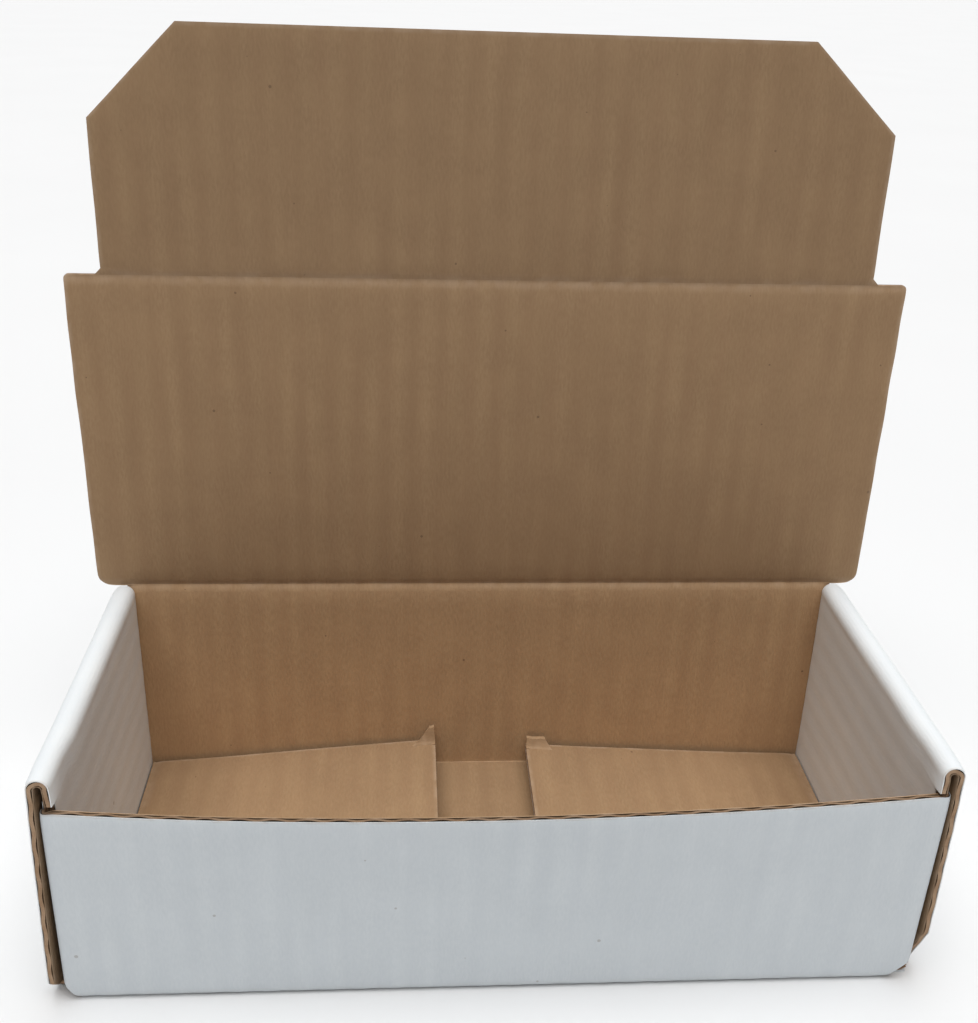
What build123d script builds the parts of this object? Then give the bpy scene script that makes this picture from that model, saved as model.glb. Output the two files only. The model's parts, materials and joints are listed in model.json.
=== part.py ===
from build123d import *
import math
import os

# Open mailer carton of white-lined corrugated board, with roll-over double side walls, a hinged lid
# with a tuck flap, and two loose floor flaps.
# Millimetres, +Z up. X runs along the front, Y from the front to the back. The origin is at the middle
# of the base, in the plane that the carton stands on.

# ---- driving dimensions -------------------------------------------------------------------------
INNER_WIDTH = 175.8  # clear between the rolled side walls
OUTER_DEPTH = 80.6  # front face to back face
SIDE_HEIGHT = 57.8  # to the crest of the rolled side walls
FRONT_DROP = 7.1  # from that crest down to the top edge of the front wall
LID_OVERHANG = 1.5  # of the lid past each outer side wall
BOARD = 2.2  # board thickness
LINER = 0.3
MEDIUM = 0.2  # paper of the fluting
FLUTE_PITCH = 6.6
FLUTE_CREST = 1.1  # flat of each flute where it is glued to a liner
CREASE_GAP = 0.6  # cut back of the panels on either side of a folding crease, past half the board
CREASE_CRUSH = 0.15  # board crushed from each face along a folding crease
CREASE_SEAT = 0.05  # floor flap crease to the foot of the rolled wall
CORNER_RADIUS = 3.0  # lower corners of the lid
TUCK_CHAMFER_WIDTH = 20.4
TUCK_CHAMFER_HEIGHT = 20.0
TUCK_FLOOR_GAP = 2.9  # tuck flap to the floor when the lid is shut
TUCK_SIDE_GAP = 0.6  # tuck flap to each rolled wall when the lid is shut
TUCK_FRONT_GAP = 0.7  # tuck flap to the front wall when the lid is shut
LID_GAP = 0.5  # lid to the crest of the side walls when the lid is shut
FRONT_CHAMFER = 4.0  # cut lower corners of the front wall
FOLD_ZIGZAGS = 6  # half waves of crushed fluting round the roll
FOLD_SLACK = 0.05  # crushed fluting to the liners of the roll
DUST_FLAP_LENGTH = 36.0
DUST_FLAP_FOOT = 0.6  # dust flap to the floor
DUST_FLAP_GAP = 0.4  # dust flap to the inside of the roll above it
FLAP_GAP = 24.0  # between the floor flaps
FLAP_FRONT_GAP = 4.2  # floor flap to the front wall, where the tuck flap goes down
FLAP_BACK_GAP = 1.2
LEFT_FLAP_TILT = 4.4  # degrees that each floor flap springs up at rest
RIGHT_FLAP_TILT = 3.1
FLAP_LIFT = 0.35  # floor flap to the floor when it lies flat
EAR_WIDTH = 5.4  # bent-up corners at the back of the floor flaps
EAR_HEIGHT = 4.0
EAR_THICKNESS = 1.2  # crushed thinner than the board
EAR_TIP = 1.6
LID_LEAN = 0.5  # degrees behind upright at rest
TUCK_LEAN = 0.2  # degrees behind upright at rest

# ---- derived sizes ------------------------------------------------------------------------------
CORE = BOARD - 2 * LINER
CREASE_CUT = BOARD / 2 + CREASE_GAP
CREASE_RADIUS = BOARD / 2 - CREASE_CRUSH
FRONT_HEIGHT = SIDE_HEIGHT - FRONT_DROP
HALF_INNER = INNER_WIDTH / 2
HALF_OUTER = HALF_INNER + 3 * BOARD
HALF_FRONT = HALF_OUTER - BOARD  # the front wall turns into the dust flaps inside the outer walls
FRONT_FACE = -OUTER_DEPTH / 2
BACK_FACE = OUTER_DEPTH / 2
LID_WIDTH = 2 * (HALF_OUTER + LID_OVERHANG)
ROLL_CENTRE = SIDE_HEIGHT - 1.5 * BOARD
HINGE_Y = BACK_FACE - BOARD / 2
HINGE_Z = SIDE_HEIGHT + LID_GAP + BOARD / 2
TUCK_LENGTH = HINGE_Z - BOARD - TUCK_FLOOR_GAP
TUCK_PLANE_Y = FRONT_FACE + BOARD + TUCK_FRONT_GAP + BOARD / 2
LID_LENGTH = HINGE_Y - TUCK_PLANE_Y  # between its two crease axes
TUCK_WIDTH = INNER_WIDTH - 2 * TUCK_SIDE_GAP
FLAP_AXIS_X = HALF_INNER - CREASE_RADIUS - CREASE_SEAT
FLAP_AXIS_Z = BOARD + FLAP_LIFT + BOARD / 2
FLAP_WIDTH = FLAP_AXIS_X - FLAP_GAP / 2
FLAP_FRONT = FRONT_FACE + BOARD + FLAP_FRONT_GAP
FLAP_BACK = BACK_FACE - BOARD - FLAP_BACK_GAP

os.makedirs("parts", exist_ok=True)


def save(name, shape):
    """Writes one node, with its solids in a flat compound."""
    solids = shape.solids()
    export_step(solids[0] if len(solids) == 1 else Compound(children=solids), f"parts/{name}.step")


def polygon(points):
    """A flat face with straight sides, drawn in XY."""
    return make_face(Polyline(*points, close=True))


def rectangle(low_u, high_u, low_v, high_v):
    """A rectangular face, drawn in XY from its limits."""
    return polygon([(low_u, low_v), (high_u, low_v), (high_u, high_v), (low_u, high_v)])


def flute_wave(low_u, high_u):
    """The section of the fluting, drawn in XZ: flat crests joined by straight flanks of even thickness."""
    rise = CORE - MEDIUM
    run = FLUTE_PITCH / 2 - FLUTE_CREST
    corner = MEDIUM / 2 * math.tan(math.atan2(rise, run) / 2)
    first = math.floor(2 * low_u / FLUTE_PITCH) - 1
    last = math.ceil(2 * high_u / FLUTE_PITCH) + 1
    upper, lower = [], []
    for half_wave in range(first, last + 1):
        middle = half_wave * FLUTE_PITCH / 2
        side = 1 if half_wave % 2 == 0 else -1
        level = LINER + CORE / 2 + side * rise / 2
        outside = FLUTE_CREST / 2 + side * corner
        inside = FLUTE_CREST / 2 - side * corner
        upper += [(middle - outside, level + MEDIUM / 2), (middle + outside, level + MEDIUM / 2)]
        lower += [(middle - inside, level - MEDIUM / 2), (middle + inside, level - MEDIUM / 2)]
    return upper + lower[::-1]


def flute_sheet(low_u, high_u, low_v, high_v):
    """A sheet of fluting above XY, with its flutes along Y."""
    section = make_face(Plane.XZ * Polyline(*flute_wave(low_u, high_u), close=True))
    return extrude(section, amount=high_v - low_v, dir=(0, 1, 0)).moved(Location((0, low_v, 0)))


def panel(name, outline, plane, flutes_along_v=True):
    """Writes the three papers of a board panel: its outer liner on the plane, its fluting and its
    inner liner, which faces along the plane's normal."""
    box = outline.bounding_box()
    if flutes_along_v:
        sheet = flute_sheet(box.min.X, box.max.X, box.min.Y - 1, box.max.Y + 1)
    else:
        sheet = flute_sheet(box.min.Y, box.max.Y, -box.max.X - 1, -box.min.X + 1).rotate(Axis.Z, 90)
    fluting = sheet & extrude(outline, amount=BOARD, dir=(0, 0, 1))
    outer = extrude(outline, amount=LINER, dir=(0, 0, 1))
    inner = extrude(outline, amount=LINER, dir=(0, 0, 1)).moved(Location((0, 0, BOARD - LINER)))
    save(f"{name}_outer_liner", plane.location * outer)
    save(f"{name}_fluting", plane.location * fluting)
    save(f"{name}_inner_liner", plane.location * inner)


def bead(name, radius, centre, length, direction):
    """Writes the crushed board along a folding crease."""
    plane = Plane(origin=centre, z_dir=direction)
    save(name, plane.location * Cylinder(radius, length))


def upright_plane(origin, normal):
    """An upright panel's plane: V is up, and the normal points from the outer to the inner liner."""
    return Plane(origin=origin, x_dir=Vector(0, 0, 1).cross(Vector(*normal)), z_dir=normal)


def span(side, low, high):
    """The limits of a stretch along Y on a plane whose U is +Y or -Y."""
    return sorted([side * low, side * high])


# ---- base and fixed walls -----------------------------------------------------------------------
def build_floor():
    """The floor lies between the front, back and outer side walls."""
    outline = rectangle(-HALF_OUTER + BOARD, HALF_OUTER - BOARD, FRONT_FACE + BOARD, BACK_FACE - BOARD)
    panel("floor", outline, Plane.XY)


def build_front_wall():
    """The front wall, with its lower corners cut off."""
    outline = polygon(
        [
            (-HALF_FRONT + FRONT_CHAMFER, 0),
            (HALF_FRONT - FRONT_CHAMFER, 0),
            (HALF_FRONT, FRONT_CHAMFER),
            (HALF_FRONT, FRONT_HEIGHT),
            (-HALF_FRONT, FRONT_HEIGHT),
            (-HALF_FRONT, FRONT_CHAMFER),
        ]
    )
    panel("front_wall", outline, upright_plane((0, FRONT_FACE, 0), (0, 1, 0)))


def build_back_wall():
    """The back wall, up to the lid's crease."""
    outline = rectangle(-HALF_FRONT, HALF_FRONT, 0, HINGE_Z - CREASE_CUT)
    panel("back_wall", outline, upright_plane((0, BACK_FACE, 0), (0, -1, 0)))


def build_side(name, side):
    """One rolled side: the outer wall, the fold over the top and the white-faced inner wall."""
    low_u, high_u = span(-side, FRONT_FACE, BACK_FACE)
    outer_plane = upright_plane((side * HALF_OUTER, 0, 0), (-side, 0, 0))
    outer_outline = rectangle(low_u, high_u, 0, ROLL_CENTRE)
    panel(f"{name}_outer_wall", outer_outline, outer_plane, flutes_along_v=False)
    low_u, high_u = span(side, FRONT_FACE + BOARD, BACK_FACE - BOARD)
    inner_plane = upright_plane((side * HALF_INNER, 0, 0), (side, 0, 0))
    inner_outline = rectangle(low_u, high_u, BOARD, ROLL_CENTRE)
    panel(f"{name}_inner_wall", inner_outline, inner_plane, flutes_along_v=False)
    build_top_fold(f"{name}_top_fold", side)


def half_ring(outer, inner):
    """The upper half of a ring, drawn in XY about the origin."""
    ring = Circle(outer) - Circle(inner)
    return ring & Pos(0, outer) * Rectangle(4 * outer, 2 * outer)


def build_top_fold(name, side):
    """The roll over the top of a side wall, half a tube of board with its fluting crushed to a zigzag."""
    outside = 1.5 * BOARD
    inside = 0.5 * BOARD
    centre = side * (HALF_INNER + 1.5 * BOARD)
    length = OUTER_DEPTH - BOARD
    plane = Plane(origin=(centre, FRONT_FACE, ROLL_CENTRE), x_dir=(-1, 0, 0), z_dir=(0, 1, 0))
    save(f"{name}_outer_liner", plane.location * extrude(half_ring(outside, outside - LINER), length))
    save(f"{name}_inner_liner", plane.location * extrude(half_ring(inside + LINER, inside), length))
    crest = outside - LINER - FOLD_SLACK
    trough = inside + LINER + MEDIUM + FOLD_SLACK
    upper, lower = [], []
    for step in range(FOLD_ZIGZAGS + 1):
        angle = math.pi * step / FOLD_ZIGZAGS
        high = crest if step % 2 == 0 else trough
        low = high - MEDIUM
        upper.append((high * math.cos(angle), high * math.sin(angle)))
        lower.append((low * math.cos(angle), low * math.sin(angle)))
    section = make_face(Polyline(*(upper + lower[::-1]), close=True))
    save(f"{name}_fluting", plane.location * extrude(section, length))


def build_dust_flaps(name, side):
    """The flaps from the front and back walls, between the outer and the inner side wall."""
    plane = upright_plane((side * (HALF_OUTER - BOARD), 0, 0), (-side, 0, 0))
    under_roll = ROLL_CENTRE - DUST_FLAP_GAP
    bottom = BOARD + DUST_FLAP_FOOT
    places = (
        ("front", FRONT_FACE + BOARD, FRONT_FACE + BOARD + DUST_FLAP_LENGTH, min(under_roll, FRONT_HEIGHT)),
        ("back", BACK_FACE - BOARD - DUST_FLAP_LENGTH, BACK_FACE - BOARD, under_roll),
    )
    for place, low_y, high_y, top in places:
        outline = rectangle(*span(-side, low_y, high_y), bottom, top)
        panel(f"{name}_{place}_dust_flap", outline, plane)


# ---- lid and tuck flap --------------------------------------------------------------------------
def lid_plane():
    """The lid's plane at its crease: V along the lid, normal towards the front."""
    lean = math.radians(LID_LEAN)
    along = Vector(0, math.sin(lean), math.cos(lean))
    normal = Vector(0, -math.cos(lean), math.sin(lean))
    origin = Vector(0, HINGE_Y, HINGE_Z) - normal * (BOARD / 2)
    return Plane(origin=origin, x_dir=along.cross(normal), z_dir=normal), along


def tuck_plane():
    """The tuck flap's plane at its crease, at the far end of the lid."""
    lean = math.radians(TUCK_LEAN)
    along = Vector(0, math.sin(lean), math.cos(lean))
    normal = Vector(0, -math.cos(lean), math.sin(lean))
    axis = Vector(0, HINGE_Y, HINGE_Z) + lid_plane()[1] * LID_LENGTH
    return Plane(origin=axis - normal * (BOARD / 2), x_dir=along.cross(normal), z_dir=normal), axis


def build_lid():
    """The lid, wider than the tray, with round corners at the crease and square ones at the tuck."""
    outline = rectangle(-LID_WIDTH / 2, LID_WIDTH / 2, CREASE_CUT, LID_LENGTH - CREASE_CUT)
    near = outline.vertices().sort_by(Axis.Y)[:2]
    panel("lid", fillet(near, CORNER_RADIUS), lid_plane()[0])


def build_tuck_flap():
    """The tuck flap, narrower than the clear width, with its free corners cut off."""
    half = TUCK_WIDTH / 2
    outline = polygon(
        [
            (-half, CREASE_CUT),
            (half, CREASE_CUT),
            (half, TUCK_LENGTH - TUCK_CHAMFER_HEIGHT),
            (half - TUCK_CHAMFER_WIDTH, TUCK_LENGTH),
            (-half + TUCK_CHAMFER_WIDTH, TUCK_LENGTH),
            (-half, TUCK_LENGTH - TUCK_CHAMFER_HEIGHT),
        ]
    )
    panel("tuck_flap", outline, tuck_plane()[0])


# ---- floor flaps --------------------------------------------------------------------------------
def build_floor_flap(name, side, tilt_degrees):
    """A loose flap on the floor, with a bent-up ear at the back of its free edge."""
    tilt = math.radians(tilt_degrees)
    along = Vector(-side * math.cos(tilt), 0, math.sin(tilt))
    normal = Vector(side * math.sin(tilt), 0, math.cos(tilt))
    origin = Vector(side * FLAP_AXIS_X, 0, FLAP_AXIS_Z) - normal * (BOARD / 2)
    plane = Plane(origin=origin, x_dir=along.cross(normal), z_dir=normal)
    outline = rectangle(*span(side, FLAP_FRONT, FLAP_BACK), CREASE_CUT, FLAP_WIDTH)
    panel(f"{name}_floor_flap", outline, plane, flutes_along_v=False)
    profile = [
        (FLAP_WIDTH - EAR_WIDTH, BOARD),
        (FLAP_WIDTH, BOARD),
        (FLAP_WIDTH, BOARD + EAR_HEIGHT),
        (FLAP_WIDTH - EAR_TIP, BOARD + EAR_HEIGHT),
    ]
    face = make_face(Plane.YZ * Polyline(*profile, close=True))
    low_u, high_u = span(side, FLAP_BACK - EAR_THICKNESS, FLAP_BACK)
    ear = extrude(face, amount=high_u - low_u, dir=(1, 0, 0)).moved(Location((low_u, 0, 0)))
    save(f"{name}_flap_ear", plane.location * ear)


build_floor()
build_front_wall()
build_back_wall()
build_lid()
build_tuck_flap()
for side_name, side_sign, flap_tilt in (("left", -1, LEFT_FLAP_TILT), ("right", 1, RIGHT_FLAP_TILT)):
    build_side(side_name, side_sign)
    build_dust_flaps(side_name, side_sign)
    build_floor_flap(side_name, side_sign, flap_tilt)
    bead(
        f"{side_name}_floor_crease",
        CREASE_RADIUS,
        (side_sign * FLAP_AXIS_X, (FLAP_FRONT + FLAP_BACK) / 2, FLAP_AXIS_Z),
        FLAP_BACK - FLAP_FRONT,
        (0, 1, 0),
    )
bead("lid_crease", CREASE_RADIUS, (0, HINGE_Y, HINGE_Z), INNER_WIDTH, (1, 0, 0))
bead("tuck_crease", CREASE_RADIUS, tuple(tuck_plane()[1]), TUCK_WIDTH, (1, 0, 0))
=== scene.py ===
"""Looks of an open mailer carton of white-lined corrugated board, built around its CAD frame.

Every panel is made of the three papers of the board: a white outer liner, a fluted paper and a brown
inner liner. Metres, +Z up; the front of the carton faces -Y.
"""

import json
import logging
import math
from collections.abc import Callable
from dataclasses import dataclass, field, replace
from enum import Enum

import bmesh
import bpy
import numpy as np
from mathutils import Matrix, Vector


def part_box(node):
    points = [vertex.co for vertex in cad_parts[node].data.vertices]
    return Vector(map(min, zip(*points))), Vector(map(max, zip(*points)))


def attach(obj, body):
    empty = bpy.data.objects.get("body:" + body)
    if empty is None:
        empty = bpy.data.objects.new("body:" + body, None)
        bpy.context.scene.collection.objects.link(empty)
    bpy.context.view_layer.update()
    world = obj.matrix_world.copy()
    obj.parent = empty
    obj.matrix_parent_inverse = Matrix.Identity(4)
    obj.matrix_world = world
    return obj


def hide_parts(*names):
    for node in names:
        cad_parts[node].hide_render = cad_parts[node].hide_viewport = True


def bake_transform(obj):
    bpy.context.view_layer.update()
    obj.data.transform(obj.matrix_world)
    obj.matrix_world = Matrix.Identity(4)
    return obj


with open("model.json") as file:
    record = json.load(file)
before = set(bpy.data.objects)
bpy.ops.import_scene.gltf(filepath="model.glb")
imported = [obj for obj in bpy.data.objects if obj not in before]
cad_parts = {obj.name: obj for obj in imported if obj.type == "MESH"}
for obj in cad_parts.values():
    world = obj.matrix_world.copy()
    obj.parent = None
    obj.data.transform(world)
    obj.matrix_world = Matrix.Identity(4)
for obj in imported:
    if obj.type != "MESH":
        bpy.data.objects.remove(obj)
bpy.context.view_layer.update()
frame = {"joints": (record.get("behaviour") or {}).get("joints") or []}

MM = 0.001
HAIR = 1e-6
FAR = 0.05
LOG = logging.getLogger("carton")
Array = np.ndarray
Place = Callable[[Array, Array, Array], Array]


class Side(Enum):
    """The two mirrored sides of the carton, with the sign of X that each is on."""

    LEFT = -1
    RIGHT = 1

    @property
    def word(self) -> str:
        """The side's word in node and piece names."""
        return self.name.lower()


class Paper(Enum):
    """The papers of the board: the ending of their CAD nodes, their slot, the ending of their pieces."""

    OUTER = ("outer_liner", "white_liner", "white_paper")
    FLUTED = ("fluting", "fluting", "fluted_paper")
    INNER = ("inner_liner", "kraft_liner", "brown_paper")

    def __init__(self, node_ending: str, slot: str, piece_ending: str) -> None:
        """Keeps the three words.

        Args:
            node_ending: ending of the CAD node's name.
            slot: material slot of the record.
            piece_ending: ending of the piece's name.
        """
        self.node_ending = node_ending
        self.slot = slot
        self.piece_ending = piece_ending


class Flutes(Enum):
    """The direction that the flutes of a panel lie in, on its own U and V."""

    ALONG_V = 0
    ALONG_U = 1


# ---- sizes read from the frame ------------------------------------------------------------------
def joint_place(name: str) -> Vector:
    """Where a joint of the frame is."""
    return next(Vector(joint["pos_m"]) for joint in frame["joints"] if joint["name"] == name)


@dataclass(frozen=True)
class CartonSizes:
    """The carton's sizes in metres, as its CAD nodes and joints have them."""

    board: float
    liner: float
    half_front: float
    half_inner: float
    front_face: float
    back_face: float
    front_height: float
    side_height: float
    half_lid: float
    half_tuck: float
    tuck_top: float
    hinge: Vector
    tuck_axis: Vector
    pitch: float = 6.6 * MM
    medium: float = 0.2 * MM
    fold_radius: float = 2.4 * MM
    roll_radius: float = 2.9 * MM
    crease_drop: float = 1.9 * MM

    @classmethod
    def from_frame(cls) -> "CartonSizes":
        """Reads the sizes.

        Returns:
            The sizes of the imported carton.
        """
        front_low, front_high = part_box("front_wall_outer_liner")
        return cls(
            board=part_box("floor_inner_liner")[1][2],
            liner=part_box("floor_outer_liner")[1][2],
            half_front=front_high[0],
            half_inner=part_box("right_inner_wall_outer_liner")[0][0],
            front_face=front_low[1],
            back_face=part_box("back_wall_outer_liner")[1][1],
            front_height=front_high[2],
            side_height=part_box("right_top_fold_outer_liner")[1][2],
            half_lid=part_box("lid_outer_liner")[1][0],
            half_tuck=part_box("tuck_flap_outer_liner")[1][0],
            tuck_top=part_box("tuck_flap_outer_liner")[1][2],
            hinge=joint_place("lid_hinge"),
            tuck_axis=joint_place("tuck_fold"),
        )

    @property
    def lid_foot(self) -> float:
        """From the hinge's axis down to where the lid's board takes over from the back wall's."""
        return self.crease_drop + 2 * MM

    @property
    def lid_length(self) -> float:
        """From the lid's crease to the tuck flap's crease."""
        return (self.tuck_axis - self.hinge).length

    @property
    def tuck_length(self) -> float:
        """From the tuck flap's crease to its free edge."""
        return self.tuck_top - self.tuck_axis.z


# ---- shapes of folded board ---------------------------------------------------------------------
class FoldPath:
    """A line made of straight runs and arcs, followed by the outer face of a folded panel."""

    def __init__(self, start: tuple[float, float], heading: float, moves: list[tuple[float, float]]) -> None:
        """Lays the moves one after another.

        Args:
            start: first point, as (across, up).
            heading: first direction, in degrees from the across axis.
            moves: for each move its length and the degrees that it turns through, positive to the left.
        """
        self.lengths = np.array([length for length, _ in moves])
        self.turns = np.radians([turn for _, turn in moves])
        self.starts = np.concatenate(([0.0], np.cumsum(self.lengths)[:-1]))
        angles = math.radians(heading) + np.concatenate(([0.0], np.cumsum(self.turns)[:-1]))
        self.angles = angles
        self.points = [np.array(start)]
        for index in range(len(moves) - 1):
            self.points.append(self._ahead(np.array([index]), self.lengths[index : index + 1])[0])

    @property
    def length(self) -> float:
        """Length of the whole line."""
        return float(self.lengths.sum())

    def lean(self, move: int, degrees: float) -> None:
        """Leans one straight move, and starts the next where it now ends.

        Args:
            move: number of the move.
            degrees: how far it leans to the right of its direction.
        """
        self.angles[move] -= math.radians(degrees)
        if move + 1 < len(self.points):
            self.points[move + 1] = self._ahead(np.array([move]), self.lengths[move : move + 1])[0]

    def _ahead(self, index: Array, reach: Array) -> Array:
        """Points on the numbered moves.

        Args:
            index: number of the move for each point.
            reach: distance along that move for each point.

        Returns:
            One (across, up) row for each point.
        """
        origin = np.array(self.points)[index]
        angle = self.angles[index]
        curve = self.turns[index] / self.lengths[index]
        swept = curve * reach
        small = np.abs(curve) < 1e-9
        safe = np.where(small, 1.0, curve)
        across = np.where(small, reach * np.cos(angle), (np.sin(angle + swept) - np.sin(angle)) / safe)
        up = np.where(small, reach * np.sin(angle), (np.cos(angle) - np.cos(angle + swept)) / safe)
        return origin + np.stack([across, up], axis=-1)

    def at(self, reach: Array) -> tuple[Array, Array]:
        """The line's points and directions.

        Args:
            reach: distances from the start of the line.

        Returns:
            The points, and the angles of the line there in radians.
        """
        flat = np.asarray(reach, float).ravel()
        index = np.clip(np.searchsorted(self.starts, flat, side="right") - 1, 0, len(self.starts) - 1)
        local = flat - self.starts[index]
        points = self._ahead(index, local)
        angles = self.angles[index] + self.turns[index] / self.lengths[index] * local
        shape = np.shape(reach)
        return points.reshape(*shape, 2), angles.reshape(shape)


class Warp:
    """The slow unevenness of a panel folded by hand: a few waves with seeded directions."""

    SPREAD = 1.6
    PEAK = 1.6

    def __init__(self, seed: int, height: float, reach: float, waves: int = 6) -> None:
        """Draws the waves.

        Args:
            seed: number of the panel.
            height: about the largest departure from flat.
            reach: about the length of a wave.
            waves: how many waves are added up.
        """
        draw = np.random.default_rng(seed)
        self.wave_vectors = draw.normal(size=(waves, 2)) * math.tau / reach / self.SPREAD
        self.phases = draw.uniform(0, math.tau, waves)
        self.heights = draw.uniform(0.3, 1.0, waves)
        self.heights *= height / self.heights.sum() * self.PEAK

    def __call__(self, across: Array, along: Array) -> Array:
        """Height of the unevenness.

        Args:
            across: first coordinate of the places asked for.
            along: second coordinate of the places asked for.

        Returns:
            The height at each place.
        """
        total = np.zeros(np.broadcast(across, along).shape)
        for (first, second), phase, height in zip(self.wave_vectors, self.phases, self.heights):
            total = total + height * np.sin(first * across + second * along + phase)
        return total


@dataclass
class Outline:
    """A cut outline, given by its low and high edge at each V."""

    low: list[tuple[float, float]]
    high: list[tuple[float, float]]

    @classmethod
    def straight(cls, first: float, last: float, low: float, high: float) -> "Outline":
        """The outline of a plain rectangle.

        Args:
            first: V of its first end.
            last: V of its last end.
            low: its low edge.
            high: its high edge.

        Returns:
            The outline.
        """
        return cls([(first, low), (last, low)], [(first, high), (last, high)])

    def breaks(self) -> Array:
        """The places along V where an edge changes direction."""
        return np.array([v for v, _ in self.low] + [v for v, _ in self.high])

    def edges(self, rows: Array) -> tuple[Array, Array]:
        """The two edges.

        Args:
            rows: places along V.

        Returns:
            The low and the high edge at each place.
        """
        low = np.interp(rows, *np.array(self.low).T)
        high = np.interp(rows, *np.array(self.high).T)
        return low, high


def rounded(
    v: float, inner: float, outer: float, radius: float, rising: bool, steps: int = 6
) -> list[tuple[float, float]]:
    """A rounded corner between a narrow and a wide stretch of an outline.

    Args:
        v: place along V of the cut edge between the two stretches.
        inner: half width of the narrow stretch.
        outer: half width of the wide stretch.
        radius: radius of the corner of the wide stretch.
        rising: whether the wide stretch is after the cut, or before it.
        steps: number of straight steps in the arc.

    Returns:
        The (v, half width) points in the order of V.
    """
    turn = [math.pi / 2 * step / steps for step in range(steps + 1)]
    arc = [(radius * (1 - math.cos(a)), outer - radius * (1 - math.sin(a))) for a in turn]
    points = [(0.0, inner)] + [(along + HAIR, half) for along, half in arc]
    if rising:
        return [(v + along, half) for along, half in points]
    return [(v - along, half) for along, half in points[::-1]]


def stations(
    low: float, high: float, step: float, extra: Array, fine: list[tuple[float, float, float]]
) -> Array:
    """Places along one direction of a sheet.

    Args:
        low: first place.
        high: last place.
        step: usual distance between places.
        extra: places that must be there.
        fine: stretches with closer places, as (low, high, step).

    Returns:
        The places in order.
    """
    count = max(2, int(round((high - low) / step)) + 1)
    parts = [np.linspace(low, high, count), extra]
    for first, last, close in fine:
        parts.append(np.arange(max(first, low), min(last, high), close))
    places = np.unique(np.concatenate(parts))
    places = places[(places >= low - HAIR / 1000) & (places <= high + HAIR / 1000)]
    keep = np.concatenate(([True], np.diff(places) > HAIR / 2))
    return places[keep]


def grid_faces(numbers: Array) -> Array:
    """The four corners of each face of a grid.

    Args:
        numbers: number of the point at each row and column.

    Returns:
        Four point numbers for each face.
    """
    corners = (numbers[:-1, :-1], numbers[:-1, 1:], numbers[1:, 1:], numbers[1:, :-1])
    return np.stack(corners, axis=-1).reshape(-1, 4)


def drop_repeats(face: Array) -> list[int]:
    """A face's corners without the ones that repeat.

    Args:
        face: the four corner numbers.

    Returns:
        The corners that are left, in order.
    """
    corners: list[int] = []
    for corner in face:
        if corner not in corners:
            corners.append(int(corner))
    return corners


@dataclass
class Rider:
    """What a piece moves with: one body. A piece at a crease between two bodies is not tied to either."""

    body: str
    toward: str = ""
    start: Vector | None = None
    end: Vector | None = None

    def hold(self, piece: bpy.types.Object) -> None:
        """Ties the piece to its one body; a piece between two bodies only gets its place baked into its mesh.
        """
        if self.toward:
            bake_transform(piece)
        else:
            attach(piece, self.body)


# ---- shader groups ------------------------------------------------------------------------------
class Nodes:
    """A short way to add and join the nodes of one tree."""

    def __init__(self, tree: bpy.types.NodeTree) -> None:
        """Keeps the tree."""
        self.tree = tree

    def add(self, kind: str, values: dict | None = None, **settings: object) -> bpy.types.Node:
        """Adds a node.

        Args:
            kind: type of the node.
            values: a value or a socket to join for each input's name or number.
            settings: properties of the node.

        Returns:
            The node.
        """
        node = self.tree.nodes.new(kind)
        for name, setting in settings.items():
            setattr(node, name, setting)
        for name, value in (values or {}).items():
            if isinstance(value, bpy.types.NodeSocket):
                self.join(value, node.inputs[name])
            else:
                node.inputs[name].default_value = value
        return node

    def join(self, source: bpy.types.NodeSocket, target: bpy.types.NodeSocket) -> None:
        """Joins an output to an input."""
        self.tree.links.new(source, target)

    def uv(self, name: str) -> bpy.types.NodeSocket:
        """One of the maps that every sheet carries."""
        return self.add("ShaderNodeUVMap", uv_map=name).outputs[0]

    def scaled(self, vector: object, scale: object) -> bpy.types.NodeSocket:
        """Places made larger or smaller by one number."""
        node = self.add("ShaderNodeVectorMath", {0: vector, "Scale": scale}, operation="SCALE")
        return node.outputs[0]

    def stretched(self, vector: object, shares: tuple[float, float, float]) -> bpy.types.NodeSocket:
        """Places made larger or smaller by another number along each axis."""
        node = self.add("ShaderNodeVectorMath", {0: vector, 1: shares}, operation="MULTIPLY")
        return node.outputs[0]

    def math(self, operation: str, first: object, second: object = 0.0) -> bpy.types.NodeSocket:
        """The result of a sum on one or two values."""
        return self.add("ShaderNodeMath", {0: first, 1: second}, operation=operation).outputs[0]

    def mix(self, factor: object, first: object, second: object) -> bpy.types.NodeSocket:
        """A colour between two colours."""
        node = self.add("ShaderNodeMix", {0: factor, 6: first, 7: second}, data_type="RGBA")
        return node.outputs[2]

    def between(
        self, value: object, low: float, high: float, start: float, end: float
    ) -> bpy.types.NodeSocket:
        """A value taken from one range to another with soft ends."""
        node = self.add(
            "ShaderNodeMapRange",
            {"Value": value, "From Min": low, "From Max": high, "To Min": start, "To Max": end},
            interpolation_type="SMOOTHSTEP",
        )
        return node.outputs[0]

    def noise(self, vector: object, scale: float, detail: float) -> bpy.types.NodeSocket:
        """Plain noise over the given places."""
        node = self.add("ShaderNodeTexNoise", {"Vector": vector, "Scale": scale, "Detail": detail})
        return node.outputs["Fac"]


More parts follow.
